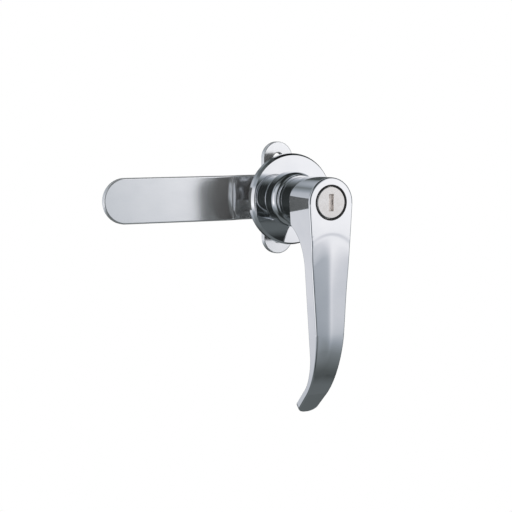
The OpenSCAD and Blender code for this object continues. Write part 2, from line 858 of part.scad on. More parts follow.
// Driver behind the plug: a tang, a stem, a disc and the crank pin that moves the bolt
module tail_driver() {
    disc_y0 = driver_y1 - driver_t;
    color(zinc) union() {
        intersection() {
            box([-tang_w / 2, plug_back - tang_len, -past], [tang_w / 2, plug_back, past]);
            bar(plug_r - tang_inset, plug_back - tang_len, plug_back);
        }
        bar(driver_stem_r, plug_back, disc_y0 + eps);
        bar(driver_r, disc_y0, driver_y1);
        translate([bolt_rest, 0, bolt_rest]) bar(crank_pin_d / 2, driver_y1 - eps, bolt_y1 - play);
    }
}

module shutter_pin() {
    half = flap_room + hinge_seat - eps;
    color(spring_steel) translate([hinge_x, hinge_y, -half]) cylinder(d = hinge_d, h = 2 * half);
}

// Small torsion spring round the middle of the shutter's pin
module shutter_spring() {
    coil_r = hinge_d / 2 + flap_spring_wire_r + run_clear;
    color(spring_steel) translate([hinge_x, hinge_y, -flap_spring_len / 2])
        coil(coil_r, flap_spring_wire_r, spring_turns, flap_spring_len);
}

// Dust shutter: a flap behind the key slot with two rolled knuckles
module key_shutter() {
    half = flap_h / 2;
    reach = hinge_x + slot_w / 2;
    front = hinge_y - knuckle_r;
    color(nickel) difference() {
        union() {
            box([hinge_x - reach, front, -half], [hinge_x, front + flap_t, half]);
            translate([hinge_x, hinge_y, -half]) cylinder(r = knuckle_r, h = flap_h);
        }
        box([hinge_x - knuckle_r - play, front - eps, -spring_gap / 2],
            [hinge_x + knuckle_r + eps, hinge_y + knuckle_r + eps, spring_gap / 2]);
        translate([hinge_x, hinge_y, -half - eps]) cylinder(r = hinge_d / 2 + run_clear, h = flap_h + 2 * eps);
    }
}

// Sliding bolt with a cross slot for the crank pin
module lock_bolt() {
    half = bolt_w / 2;
    pin_play = 0.75 * play;
    grip_z = crank_pin_d / 2 + pin_play;
    color(zinc) difference() {
        box([-half, bolt_y0, bolt_foot], [half, bolt_y1, bolt_top]);
        box([-crank_e - crank_pin_d / 2 - play, bolt_y0 - eps, bolt_rest - grip_z],
            [bolt_rest + crank_pin_d / 2 + play, bolt_y1 + eps, bolt_rest + grip_z]);
    }
}

flange_base();
flange_gasket();
mounting_plate();
lock_washer();
barrel_nut();
handle();
neck_seal();
spindle();
spindle_pin();
thrust_washer();
retaining_ring();
tongue();
cam_washer();
cam_spring_washer();
cam_nut();
cylinder_shell();
cap_seal();
cylinder_pin();
plug_cap();
key_plug();
plug_clip();
wafer_tumblers();
wafer_springs();
tail_driver();
shutter_pin();
shutter_spring();
key_shutter();
lock_bolt();
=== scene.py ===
import math

import bpy
from mathutils import Euler, Matrix


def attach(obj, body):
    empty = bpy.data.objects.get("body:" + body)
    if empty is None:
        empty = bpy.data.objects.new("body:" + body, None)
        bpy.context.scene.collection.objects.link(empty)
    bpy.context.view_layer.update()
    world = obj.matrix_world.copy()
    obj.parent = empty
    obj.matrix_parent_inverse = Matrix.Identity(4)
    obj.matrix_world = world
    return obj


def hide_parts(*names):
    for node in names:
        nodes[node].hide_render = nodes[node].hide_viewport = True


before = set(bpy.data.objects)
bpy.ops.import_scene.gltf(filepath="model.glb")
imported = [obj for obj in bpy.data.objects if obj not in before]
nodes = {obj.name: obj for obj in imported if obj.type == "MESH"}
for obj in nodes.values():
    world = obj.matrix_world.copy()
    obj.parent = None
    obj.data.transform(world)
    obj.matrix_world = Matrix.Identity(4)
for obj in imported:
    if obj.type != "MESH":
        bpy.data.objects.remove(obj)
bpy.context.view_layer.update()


# Flange casting
# A zinc die casting with the round flange, the collar in front and the barrel behind, polished and chromed.
# The barrel carries a fine thread for its nut, cut through by two flats that keep the plate from turning.
mm = 0.001
barrel_r = 10 * mm
thread_depth = 0.62 * mm
thread_pitch = 1.5 * mm
thread_start = 0.6 * mm
thread_turns = 14


def select_only(piece):
    bpy.ops.object.select_all(action="DESELECT")
    piece.select_set(True)
    bpy.context.view_layer.objects.active = piece


def start_edit(piece):
    select_only(piece)
    bpy.ops.object.mode_set(mode="EDIT")


def end_edit():
    bpy.ops.object.mode_set(mode="OBJECT")
    return bpy.context.view_layer.objects.active


def copy_of(node, name):
    """A copy of a CAD node, with its loose triangles merged and its flat faces made whole."""
    merge_gap = 0.002 * mm
    flat_within = math.radians(0.4)
    piece = bpy.data.objects.new(name, nodes[node].data.copy())
    bpy.context.scene.collection.objects.link(piece)
    start_edit(piece)
    bpy.ops.mesh.select_all(action="SELECT")
    bpy.ops.mesh.customdata_custom_splitnormals_clear()
    bpy.ops.mesh.remove_doubles(threshold=merge_gap)
    bpy.ops.mesh.dissolve_limited(angle_limit=flat_within)
    return end_edit()


def apply_modifier(piece, kind, **settings):
    select_only(piece)
    modifier = piece.modifiers.new(kind.lower(), kind)
    for key, value in settings.items():
        setattr(modifier, key, value)
    bpy.ops.object.modifier_apply(modifier=modifier.name)


def combine(piece, tool, operation):
    """Adds, cuts or intersects with a second solid, which is used up."""
    apply_modifier(piece, "BOOLEAN", object=tool, operation=operation, solver="EXACT")
    bpy.data.objects.remove(tool)


def smooth(piece, degrees=30):
    """Smooth curves with crisp edges, and flat faces that stay flat."""
    select_only(piece)
    bpy.ops.object.shade_smooth_by_angle(angle=math.radians(degrees))
    apply_modifier(piece, "WEIGHTED_NORMAL", keep_sharp=True, weight=80)


def thread_groove(radius, depth, pitch, start, turns):
    """The V-shaped groove of a thread along Y, as a solid to cut with."""
    lip = 0.06 * mm
    half_width = 0.46 * pitch
    steps_a_turn = 48
    bpy.ops.object.select_all(action="DESELECT")
    bpy.ops.mesh.primitive_circle_add(vertices=3, radius=half_width, fill_type="NOTHING")
    groove = bpy.context.active_object
    outer = radius + lip
    corners = [(outer, start - half_width), (radius - depth, start), (outer, start + half_width)]
    for vertex, (x, y) in zip(groove.data.vertices, corners):
        vertex.co = (x, y, 0)
    apply_modifier(groove, "SCREW", axis="Y", angle=2 * math.pi, screw_offset=pitch, iterations=turns,
                   steps=steps_a_turn, render_steps=steps_a_turn, use_merge_vertices=False)
    start_edit(groove)
    bpy.ops.mesh.select_all(action="SELECT")
    bpy.ops.mesh.fill_holes(sides=3)
    bpy.ops.mesh.select_all(action="SELECT")
    bpy.ops.mesh.normals_make_consistent(inside=False)
    return end_edit()


def new_finish(name, metallic):
    """A new material, whose patterns lie on the piece's Object coordinates."""
    finish = bpy.data.materials.new(name)
    finish.use_nodes = True
    finish_tree = finish.node_tree
    finish_tree.nodes["Principled BSDF"].inputs["Metallic"].default_value = metallic
    finish_tree.nodes.new("ShaderNodeTexCoord").name = "place"
    return finish


def noise_on(finish, scale, detail=4.0, stretch=(1, 1, 1)):
    """A noise for a finish. It is drawn out along an axis whose stretch is below 1."""
    finish_tree = finish.node_tree
    mapping = finish_tree.nodes.new("ShaderNodeMapping")
    mapping.inputs["Scale"].default_value = stretch
    noise = finish_tree.nodes.new("ShaderNodeTexNoise")
    noise.inputs["Scale"].default_value = scale
    noise.inputs["Detail"].default_value = detail
    finish_tree.links.new(finish_tree.nodes["place"].outputs["Object"], mapping.inputs["Vector"])
    finish_tree.links.new(mapping.outputs["Vector"], noise.inputs["Vector"])
    return noise.outputs["Fac"]


# most of a noise lies between these two values
noise_low = 0.3
noise_high = 0.7


def tones(finish, noise, dark, light):
    """Spreads two tones of one colour over a finish."""
    finish_tree = finish.node_tree
    ramp = finish_tree.nodes.new("ShaderNodeValToRGB")
    ramp.color_ramp.elements[0].position = noise_low
    ramp.color_ramp.elements[0].color = (*dark, 1)
    ramp.color_ramp.elements[1].position = noise_high
    ramp.color_ramp.elements[1].color = (*light, 1)
    finish_tree.links.new(noise, ramp.inputs["Fac"])
    finish_tree.links.new(ramp.outputs["Color"], finish_tree.nodes["Principled BSDF"].inputs["Base Color"])


def roughness(finish, noise, low, high):
    """Lets the roughness of a finish vary between two values."""
    finish_tree = finish.node_tree
    shape = finish_tree.nodes.new("ShaderNodeMapRange")
    shape.inputs["From Min"].default_value = noise_low
    shape.inputs["From Max"].default_value = noise_high
    shape.inputs["To Min"].default_value = low
    shape.inputs["To Max"].default_value = high
    finish_tree.links.new(noise, shape.inputs["Value"])
    finish_tree.links.new(shape.outputs["Result"], finish_tree.nodes["Principled BSDF"].inputs["Roughness"])


def relief(finish, height, strength, depth):
    """Gives a finish its fine bumps."""
    finish_tree = finish.node_tree
    bump = finish_tree.nodes.new("ShaderNodeBump")
    bump.inputs["Strength"].default_value = strength
    bump.inputs["Distance"].default_value = depth
    finish_tree.links.new(height, bump.inputs["Height"])
    finish_tree.links.new(bump.outputs["Normal"], finish_tree.nodes["Principled BSDF"].inputs["Normal"])


def paint(piece, finish):
    piece.data.materials.clear()
    piece.data.materials.append(finish)


chrome = new_finish("polished_chrome", metallic=1.0)
tones(chrome, noise_on(chrome, scale=90), dark=(0.83, 0.84, 0.86), light=(0.88, 0.885, 0.895))
roughness(chrome, noise_on(chrome, scale=700, detail=6), low=0.025, high=0.065)
relief(chrome, noise_on(chrome, scale=140, detail=2), strength=0.05, depth=0.02 * mm)

flange = copy_of("flange_base", "flange_casting")
thread = thread_groove(barrel_r, thread_depth, thread_pitch, thread_start, thread_turns)
combine(flange, thread, "DIFFERENCE")
smooth(flange)
paint(flange, chrome)
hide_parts("flange_base")
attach(flange, "base")


# Gasket and seals
# The gasket is a thin ring of black rubber punched from sheet and squeezed between the flange and the door,
# which shows as a dark line behind the rim. Two moulded rings of the same rubber seal the neck and the cap.
rubber = new_finish("black_rubber", metallic=0.0)
tones(rubber, noise_on(rubber, scale=400), dark=(0.012, 0.012, 0.013), light=(0.03, 0.03, 0.031))
roughness(rubber, noise_on(rubber, scale=900), low=0.55, high=0.8)
relief(rubber, noise_on(rubber, scale=2600, detail=5), strength=0.3, depth=0.03 * mm)
for node in ("flange_gasket", "neck_seal", "cap_seal"):
    paint(nodes[node], rubber)


# Spindle, pins, washers and springs
# A square steel spindle, zinc plated, which a cross pin, a thrust washer and an open ring of spring steel
# hold in the barrel. The lock's driver and bolt are zinc plated, its pins, clip and springs of spring steel.
zinc = new_finish("zinc_plate", metallic=1.0)
tones(zinc, noise_on(zinc, scale=220), dark=(0.62, 0.64, 0.67), light=(0.74, 0.74, 0.74))
roughness(zinc, noise_on(zinc, scale=700), low=0.2, high=0.28)
relief(zinc, noise_on(zinc, scale=900, detail=3), strength=0.05, depth=0.01 * mm)
spring_steel = new_finish("spring_steel", metallic=1.0)
tones(spring_steel, noise_on(spring_steel, scale=300), dark=(0.30, 0.31, 0.33), light=(0.45, 0.45, 0.46))
roughness(spring_steel, noise_on(spring_steel, scale=1400, detail=6), low=0.25, high=0.42)
relief(spring_steel, noise_on(spring_steel, scale=1600, detail=5), strength=0.2, depth=0.01 * mm)
for node in ("spindle", "cam_washer", "tail_driver", "lock_bolt"):
    paint(nodes[node], zinc)
for node in ("lock_washer", "spindle_pin", "thrust_washer", "retaining_ring", "cam_spring_washer",
             "cylinder_pin", "plug_clip", "wafer_springs", "shutter_pin", "shutter_spring"):
    paint(nodes[node], spring_steel)


# Handle casting
# A zinc die casting with the round head, the tapering lever and the shank, polished and chromed.
# The lever's front has a roof-shaped panel, arched at the top, and its tip bends back towards the door.
head_face = -41.6 * mm
head_back = -22.3 * mm
head_r = 11.6 * mm
tip_r = 5.2 * mm
tip_drop = 102 * mm
tip_corner_r = 4.4 * mm
lever_thick = 8.8 * mm
lever_back = head_face + lever_thick
heel_r = 24 * mm
heel_drop = 11.1 * mm
heel_z = -heel_drop - math.sqrt(heel_r ** 2 - (heel_r - head_back + lever_back) ** 2)
bend = math.radians(47)
bend_drop = 61 * mm
bend_r = 42 * mm
back_bend_drop = 72.5 * mm
back_bend_r = 24 * mm
bend_end_drop = bend_drop + bend_r * math.sin(bend)
bend_end_y = head_face + bend_r * (1 - math.cos(bend))
tip_run = (tip_drop - bend_end_drop) / math.cos(bend)
tip_y = bend_end_y + tip_run * math.sin(bend)
tip_z = -bend_end_drop - (tip_run - tip_r) * math.cos(bend)
lean = math.asin((head_r - tip_r) / -tip_z)
along_tip = (0, math.sin(bend), -math.cos(bend))
off_front = (0, -math.cos(bend), -math.sin(bend))

# limits below which two points are one, and a point lies on a cut
same_point = 0.001 * mm
on_cut = 0.0001 * mm


def pick(piece, kind, test):
    """Selects the vertices, edges or faces that pass a test, in edit mode."""
    bpy.ops.mesh.select_mode(type="VERT")
    bpy.ops.mesh.select_all(action="DESELECT")
    bpy.ops.mesh.select_mode(type={"vertices": "VERT", "edges": "EDGE", "polygons": "FACE"}[kind])
    bpy.ops.object.mode_set(mode="OBJECT")
    for part in getattr(piece.data, kind):
        part.select = bool(test(part))
    bpy.ops.object.mode_set(mode="EDIT")


def cut_off(point, normal):
    """Cuts the piece in edit mode by a plane, drops the side that the normal points to and closes the cut."""
    bpy.ops.mesh.select_all(action="SELECT")
    bpy.ops.mesh.bisect(plane_co=point, plane_no=normal, use_fill=True, clear_outer=True, threshold=on_cut)


def ends(piece, edge):
    return [piece.data.vertices[index].co for index in edge.vertices]


def middle_of(piece, edge):
    start, end = ends(piece, edge)
    return (start + end) / 2


def box_solid(low, high):
    """A block between two corners, with its place in its mesh."""
    bpy.ops.object.select_all(action="DESELECT")
    bpy.ops.mesh.primitive_cube_add(size=1)
    block = bpy.context.active_object
    for vertex in block.data.vertices:
        vertex.co = [high[i] if vertex.co[i] > 0 else low[i] for i in range(3)]
    return block


def round_edge(piece, y, z, offset, segments):
    """Rounds the edges that lie along X at one place of the side view."""
    near = 0.02 * mm

    def on_line(edge):
        return all(abs(end.y - y) < near and abs(end.z - z) < near for end in ends(piece, edge))

    pick(piece, "edges", on_line)
    bpy.ops.mesh.bevel(offset_type="OFFSET", offset=offset, segments=segments, profile=0.5,
                       clamp_overlap=False)


# the blank: the head's disc drawn out downwards and made deep, then cut along the bend and at the tip
blank_spare = 22 * mm
blank_depth = 70 * mm
side_x = head_r * math.cos(lean)
side_z = -head_r * math.sin(lean)
blank_drop = blank_spare - tip_z + side_z
blank_end_share = 1 - blank_drop * math.tan(lean) / side_x
front_corner = bend_drop + bend_r * math.tan(bend / 2)
bpy.ops.object.select_all(action="DESELECT")
bpy.ops.mesh.primitive_circle_add(vertices=192, radius=head_r, fill_type="NGON", rotation=(math.pi / 2, 0, 0),
                                  location=(0, head_face, 0))
lever = bpy.context.active_object
bpy.ops.object.transform_apply(location=True, rotation=True, scale=True)
lever.name = "handle_casting"
start_edit(lever)
bpy.ops.mesh.select_all(action="SELECT")
bpy.ops.mesh.bisect(plane_co=(0, 0, side_z), plane_no=(0, 0, -1), clear_outer=True, threshold=on_cut)
pick(lever, "edges", lambda edge: abs(middle_of(lever, edge).z - side_z) < same_point)
bpy.ops.mesh.extrude_region_move(TRANSFORM_OT_translate={"value": (0, 0, -blank_drop)})
bpy.ops.transform.resize(value=(blank_end_share, 1, 1), center_override=(0, head_face, 0))
bpy.ops.mesh.select_all(action="SELECT")
bpy.ops.mesh.extrude_region_move(TRANSFORM_OT_translate={"value": (0, blank_depth, 0)})
bpy.ops.mesh.select_all(action="SELECT")
bpy.ops.mesh.remove_doubles(threshold=same_point)
bpy.ops.mesh.normals_make_consistent(inside=False)
cut_off((0, head_face, -front_corner), off_front)
cut_off((0, tip_y, -tip_drop), along_tip)
round_edge(lever, head_face, -front_corner, bend_r * math.tan(bend / 2), segments=40)
end_edit()


def edge_faces(piece):
    """Each edge of a piece with the two faces that meet on it."""
    found = {}
    for face in piece.data.polygons:
        for key in face.edge_keys:
            found.setdefault(key, []).append(face)
    return found


def round_edges(piece, width, segments, share_of):
    """Rounds a piece's sharp edges. share_of tells an edge's share of the width by its middle and normals."""
    sharp_from = math.radians(35)
    faces = edge_faces(piece)
    shares = piece.data.attributes.new("bevel_weight_edge", "FLOAT", "EDGE")
    for edge in piece.data.edges:
        pair = faces.get(tuple(sorted(edge.vertices)), [])
        if len(pair) == 2 and pair[0].normal.angle(pair[1].normal) > sharp_from:
            share = share_of(middle_of(piece, edge), pair[0].normal, pair[1].normal)
            shares.data[edge.index].value = share
    apply_modifier(piece, "BEVEL", width=width, segments=segments, limit_method="WEIGHT",
                   use_clamp_overlap=False, loop_slide=True)
    piece.data.attributes.remove(piece.data.attributes["bevel_weight_edge"])


def on_tip_corner(edge):
    """An upright corner of the tip's end face."""
    near = 0.01 * mm
    start, end = ends(lever, edge)
    reach = [(point.y - tip_y) * along_tip[1] + (point.z + tip_drop) * along_tip[2] for point in (start, end)]
    return max(map(abs, reach)) < near and start.x * end.x > 0


start_edit(lever)
pick(lever, "edges", on_tip_corner)
bpy.ops.mesh.bevel(offset_type="OFFSET", offset=tip_corner_r, segments=28, profile=0.5, clamp_overlap=False)
end_edit()

# the front's edges, with their full rounding round the head and less of it down the lever
front_round = 0.95 * mm
full_round_to = -8 * mm
round_fades_over = 32 * mm
least_front_share = 0.6


def front_share(middle, one, other):
    """An edge's share of the rounding, by its height. Edges that no face of the front meets get none."""
    faces_front = -0.5
    if min(one.y, other.y) > faces_front:
        return 0
    if middle.z > full_round_to:
        return 1
    return max(least_front_share, 1 + (middle.z - full_round_to) / round_fades_over)


round_edges(lever, front_round, segments=6, share_of=front_share)

# the panel on the lever's front: a shallow step along its arch, then two facets that slope to the sides
step_depth = 0.045 * mm
step_width = 1.2 * mm
step_gone = 12 * mm
ridge_round = 0.6 * mm
facet_fall = 0.09
arch_r = 14 * mm
arch_z = -28 * mm
end_r = 9 * mm
end_z = -71 * mm
left_run_in = (1.5 * mm, 13 * mm)
right_run_in = (4 * mm, 30 * mm)
run_out = (-8 * mm, 16 * mm)
bend_soft = 8 * mm
bend_lead_gone = 5 * bend_soft
front_skin = 1.3 * mm
panel_rows = [half / 2 for half in range(26, 42)] + list(range(21, 84))
panel_columns = range(-10, 11)


def ease(value, low, high):
    """A soft step from 0 to 1 between two values."""
    share = max(0, min(1, (value - low) / (high - low)))
    return share * share * (3 - 2 * share)


def panel_depth(x, z):
    """How deep the panel lies behind the lever's plain front."""
    below_arch = arch_z + math.sqrt(max(0, arch_r ** 2 - x ** 2)) - z
    above_end = z - end_z + math.sqrt(max(0, end_r ** 2 - x ** 2))
    roof = facet_fall * (math.hypot(x, ridge_round) - ridge_round)
    step = step_depth * ease(below_arch, 0, step_width) * (1 - ease(below_arch, step_width, step_gone))
    run_in = right_run_in if x > 0 else left_run_in
    return (step + roof * ease(below_arch, *run_in)) * ease(above_end, *run_out)


def bend_lead(run):
    """How much deeper the front lies where it eases into its bend, by the distance from the bend's start."""
    begun = max(0, min(2 * bend_soft, run + bend_soft))
    bent = max(0, min(bend_soft, run))
    lead = (begun ** 3 / (12 * bend_soft) - bent ** 2 / 2) / bend_r
    return lead * (1 - ease(run, bend_soft, bend_lead_gone))


def inward(point):
    """A point's depth behind the lever's front, the way in from there and its distance down the bend."""
    if point.z > -bend_drop:
        return point.y - head_face, (1, 0), -bend_drop - point.z
    across = head_face + bend_r - point.y
    down = -bend_drop - point.z
    angle = min(bend, math.atan2(down, across))
    way = (math.cos(angle), math.sin(angle))
    run = bend_r * angle + max(0, down * way[0] - across * way[1])
    return bend_r - across * way[0] - down * way[1], way, run


start_edit(lever)
cuts = [((0, 0, -row * mm), (0, 0, 1)) for row in panel_rows]
cuts += [((column * mm, 0, 0), (1, 0, 0)) for column in panel_columns]
for point, normal in cuts:
    pick(lever, "polygons", lambda face: inward(face.center)[0] < front_skin)
    bpy.ops.mesh.bisect(plane_co=point, plane_no=normal, threshold=on_cut)
end_edit()
for vertex in lever.data.vertices:
    depth, way, run = inward(vertex.co)
    if depth < front_skin:
        push = panel_depth(vertex.co.x, vertex.co.z) + bend_lead(run)
        vertex.co.y += push * way[0]
        vertex.co.z += push * way[1]

# the lever's back with its heel and bend, and the head's flat back, cut with blocks that reach well past them
past_side = 30 * mm
past_back = 90 * mm
past_top = 30 * mm
past_tip = -140 * mm
past_heel = -45 * mm
heel_top = heel_z + heel_r
back_corner = back_bend_drop + back_bend_r * math.tan(bend / 2)
behind_lever = box_solid((-past_side, lever_back, past_tip), (past_side, past_back, heel_top))
start_edit(behind_lever)
round_edge(behind_lever, lever_back, heel_top, heel_r, segments=48)
cut_off((0, lever_back, -back_corner), off_front)
round_edge(behind_lever, lever_back, -back_corner, back_bend_r * math.tan(bend / 2), segments=32)
end_edit()
combine(lever, behind_lever, "DIFFERENCE")
behind_head = box_solid((-past_side, head_back, past_heel), (past_side, past_back, past_top))
combine(lever, behind_head, "DIFFERENCE")

# the back's edges, with little rounding round the head and the full one where the lever is clear of it
sliver = 0.005 * mm
back_round = 1.4 * mm
least_back_share = 0.3
full_round_depth = 6 * mm
heel_end = -22 * mm


def back_share(middle, one, other):
    """An edge's share of the rounding, by where it lies and how far its two faces look back."""
    near = 0.05 * mm
    straight = 0.9
    partly = 0.4
    little = 0.3
    hardly = 0.05
    if abs(middle.y - head_back) < near:
        faces_back = max(one.y, other.y) > straight and min(one.y, other.y) > -little
        return least_back_share if faces_back and middle.z > -heel_drop else 0
    level = min((one, other), key=lambda normal: abs(normal.x))
    if abs(level.x) > little:
        return 0
    on_heel = level.z < -hardly and level.y > -hardly and middle.z > heel_end
    if level.y > partly or on_heel:
        return max(least_back_share, min(1, (head_back - middle.y) / full_round_depth))
    return 0


start_edit(lever)
bpy.ops.mesh.select_all(action="SELECT")
bpy.ops.mesh.remove_doubles(threshold=sliver)
bpy.ops.mesh.dissolve_degenerate(threshold=sliver)
end_edit()
round_edges(lever, back_round, segments=5, share_of=back_share)


def rod(radius, start, end, vertices=128):
    """A round bar along Y, with its place in its mesh."""
    bpy.ops.object.select_all(action="DESELECT")
    bpy.ops.mesh.primitive_cylinder_add(vertices=vertices, radius=radius, depth=end - start,
                                        location=(0, (start + end) / 2, 0), rotation=(math.pi / 2, 0, 0))
    bpy.ops.object.transform_apply(location=True, rotation=True, scale=True)
    return bpy.context.active_object


def turned(name, profile, steps=160):
    """A turned piece about Y, spun from its profile of radius and Y in millimetres."""
    bpy.ops.object.select_all(action="DESELECT")
    bpy.ops.mesh.primitive_plane_add(size=mm)
    piece = bpy.context.active_object
    piece.name = name
    start_edit(piece)
    bpy.ops.mesh.select_mode(type="VERT")
    bpy.ops.mesh.select_all(action="SELECT")
    bpy.ops.mesh.merge(type="CENTER")
    bpy.ops.mesh.select_all(action="SELECT")
    bpy.ops.transform.translate(value=(profile[0][0] * mm, profile[0][1] * mm, 0))
    for before, after in zip(profile, profile[1:]):
        step = ((after[0] - before[0]) * mm, (after[1] - before[1]) * mm, 0)
        bpy.ops.mesh.extrude_region_move(TRANSFORM_OT_translate={"value": step})
    bpy.ops.mesh.select_all(action="SELECT")
    bpy.ops.mesh.spin(steps=steps, angle=2 * math.pi, center=(0, 0, 0), axis=(0, 1, 0))
    bpy.ops.mesh.select_all(action="SELECT")
    bpy.ops.mesh.remove_doubles(threshold=same_point)
    bpy.ops.mesh.select_all(action="SELECT")
    bpy.ops.mesh.normals_make_consistent(inside=False)
    return end_edit()


# neck, bead, journal with the seal's groove, and shank with the ring's groove, turned in one
neck = [(0, -22.4), (11, -22.4), (11, -12.3)]
bead = [(11.55, -12.3), (11.8, -12.05), (11.8, -11.65), (11.55, -11.4)]
shoulder = [(10, -11.4), (10, -10.5)]
seal_groove = [(9, -8.97), (7.56, -8.97), (7.56, -7.13), (9, -7.13)]
journal = [(9, -10.5), *seal_groove, (9, -1.1), (8.7, -0.8)]
ring_groove = [(7, 20.1), (6.2, 20.1), (6.2, 21.1), (7, 21.1)]
shank = [(7, -0.8), *ring_groove, (7, 21.6), (6.7, 21.9), (0, 21.9)]
combine(lever, turned("shank", neck + bead + shoulder + journal + shank), "UNION")

# the room for cap, cylinder and driver, the bolt's way, the spindle's square and two upright holes for pins,
# whose radius, place along Y and two ends are in millimetres
cap_room_r = 8.3 * mm
cap_room_end = -40 * mm
cylinder_room_r = 8.02 * mm
cylinder_room = (-40.1 * mm, -15.6 * mm)
driver_room_r = 5.55 * mm
driver_room = (-15.7 * mm, -4.8 * mm)
bolt_way = ((-4.56 * mm, -4.86 * mm, -4.36 * mm), (4.56 * mm, -1.74 * mm, 10 * mm))
spindle_square = ((-4.02 * mm, 0.2 * mm, -4.02 * mm), (4.02 * mm, 22 * mm, 4.02 * mm))
spindle_pin_hole = (1.32, 17.6, -8, 8)
cylinder_pin_hole = (1.02, -19.6, -12, -6)
combine(lever, rod(cap_room_r, head_face - mm, cap_room_end, vertices=160), "DIFFERENCE")
combine(lever, rod(cylinder_room_r, *cylinder_room), "DIFFERENCE")
combine(lever, rod(driver_room_r, *driver_room), "DIFFERENCE")
combine(lever, box_solid(*bolt_way), "DIFFERENCE")
combine(lever, box_solid(*spindle_square), "DIFFERENCE")
for radius, y, low, high in (spindle_pin_hole, cylinder_pin_hole):
    bpy.ops.object.select_all(action="DESELECT")
    bpy.ops.mesh.primitive_cylinder_add(vertices=48, radius=radius * mm, depth=(high - low) * mm,
                                        location=(0, y * mm, (low + high) / 2 * mm))
    bpy.ops.object.transform_apply(location=True, rotation=True, scale=True)
    combine(lever, bpy.context.active_object, "DIFFERENCE")

smooth(lever, degrees=28)
paint(lever, chrome)
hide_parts("handle")
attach(lever, "handle")


# Mounting plate and tongue
# Both are blanked from steel sheet and plated, and the press leaves their edges slightly rounded.
# The plate has two ears with screw holes. The tongue is cranked and sits on the spindle's square.
plate_steel = new_finish("plated_steel", metallic=0.9)
tones(plate_steel, noise_on(plate_steel, scale=130), dark=(0.91, 0.92, 0.93), light=(0.95, 0.955, 0.96))
roughness(plate_steel, noise_on(plate_steel, scale=900, detail=6, stretch=(0.08, 1, 1)), low=0.15, high=0.18)
relief(plate_steel, noise_on(plate_steel, scale=1600, stretch=(0.05, 1, 1)), strength=0.04, depth=0.01 * mm)
for node, body, edge_round in (("mounting_plate", "base", 0.5 * mm), ("tongue", "handle", 0.8 * mm)):
    sheet = copy_of(node, node + "_sheet")
    round_edges(sheet, edge_round, segments=3, share_of=lambda middle, one, other: 1)
    smooth(sheet)
    paint(sheet, plate_steel)
    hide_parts(node)
    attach(sheet, body)


# Nuts
# Two hexagon nuts of zinc plated steel, cut from bar, with their corners turned down to a slight cone on both
# faces. The large one clamps the plate on the barrel, the small one the tongue on the spindle.
cone_slope = math.tan(math.radians(30))
for node, body in (("barrel_nut", "base"), ("cam_nut", "handle")):
    points = [vertex.co for vertex in nodes[node].data.vertices]
    front = min(point.y for point in points)
    back = max(point.y for point in points)
    flat_r = max(point.x for point in points)
    corner_r = max(point.z for point in points)
    hole_r = min(math.hypot(point.x, point.z) for point in points)
    cone = (corner_r - flat_r) * cone_slope
    hexagon = rod(corner_r, front, back, vertices=6)
    front_half = [(0, front), (flat_r, front), (corner_r, front + cone)]
    back_half = [(corner_r, back - cone), (flat_r, back), (0, back)]
    nut = turned(node + "_turned", [(radius / mm, y / mm) for radius, y in front_half + back_half])
    combine(nut, hexagon, "INTERSECT")
    combine(nut, rod(hole_r, front - mm, back + mm, vertices=96), "DIFFERENCE")
    smooth(nut, degrees=25)
    paint(nut, zinc)
    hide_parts(node)
    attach(nut, body)


# Key cylinder
# A brass sleeve, nickel plated, a brass plug with wafers and a satin face cap of sheet with the key slot.
# A small flap of the same sheet closes the slot from inside.
brass = new_finish("cylinder_brass", metallic=1.0)
tones(brass, noise_on(brass, scale=260), dark=(0.66, 0.50, 0.23), light=(0.78, 0.62, 0.33))
roughness(brass, noise_on(brass, scale=1500, detail=6), low=0.18, high=0.32)
relief(brass, noise_on(brass, scale=1500, detail=5, stretch=(1, 0.1, 1)), strength=0.15, depth=0.01 * mm)
for node in ("key_plug", "wafer_tumblers"):
    paint(nodes[node], brass)

satin = new_finish("satin_steel", metallic=1.0)
tones(satin, noise_on(satin, scale=500), dark=(0.80, 0.77, 0.74), light=(0.86, 0.84, 0.82))
roughness(satin, noise_on(satin, scale=1800, detail=6), low=0.18, high=0.27)
turning = satin.node_tree.nodes.new("ShaderNodeTexWave")
turning.wave_type = "RINGS"
turning.rings_direction = "Y"
turning.inputs["Scale"].default_value = 1400
turning.inputs["Distortion"].default_value = 0.6
satin.node_tree.links.new(satin.node_tree.nodes["place"].outputs["Object"], turning.inputs["Vector"])
relief(satin, turning.outputs["Fac"], strength=0.15, depth=0.01 * mm)
paint(nodes["cylinder_shell"], satin)

rim_from = 6 * mm
rim_round = 0.2 * mm


def rim_share(middle, one, other):
    return math.hypot(middle.x, middle.z) > rim_from


cap = copy_of("plug_cap", "cap_sheet")
round_edges(cap, rim_round, segments=3, share_of=rim_share)
smooth(cap)
paint(cap, satin)
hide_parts("plug_cap")
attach(cap, "plug")

# Painted light: the flap gets a pale, matt pinkish white instead of the cap's metal, a painted reflection
# that keeps it bright inside the slot's shade.
flap_painted_light = new_finish("flap_painted_light", metallic=0.0)
tones(flap_painted_light, noise_on(flap_painted_light, scale=500), dark=(0.88, 0.80, 0.76), light=(0.94, 0.87, 0.84))
roughness(flap_painted_light, noise_on(flap_painted_light, scale=1800, detail=6), low=0.35, high=0.5)
paint(nodes["key_shutter"], flap_painted_light)


# Studio
# A pale floor well below the part, a white background and two soft lamps. A round tent of grey cloth, which
# only mirrors see, has four light panels: in front on both sides, behind on the left and high behind.
floor_z = -2.6
floor_size = 14
bpy.ops.object.select_all(action="DESELECT")
bpy.ops.mesh.primitive_plane_add(size=floor_size, location=(0, 0, floor_z))
floor = bpy.context.active_object
floor.name = "floor"


def compute(tree, operation, *values):
    """One calculation on sockets and plain numbers."""
    node = tree.nodes.new("ShaderNodeMath")
    node.operation = operation
    for socket, value in zip(node.inputs, values):
        if isinstance(value, (int, float)):
            socket.default_value = value
        else:
            tree.links.new(value, socket)
    return node.outputs["Value"]


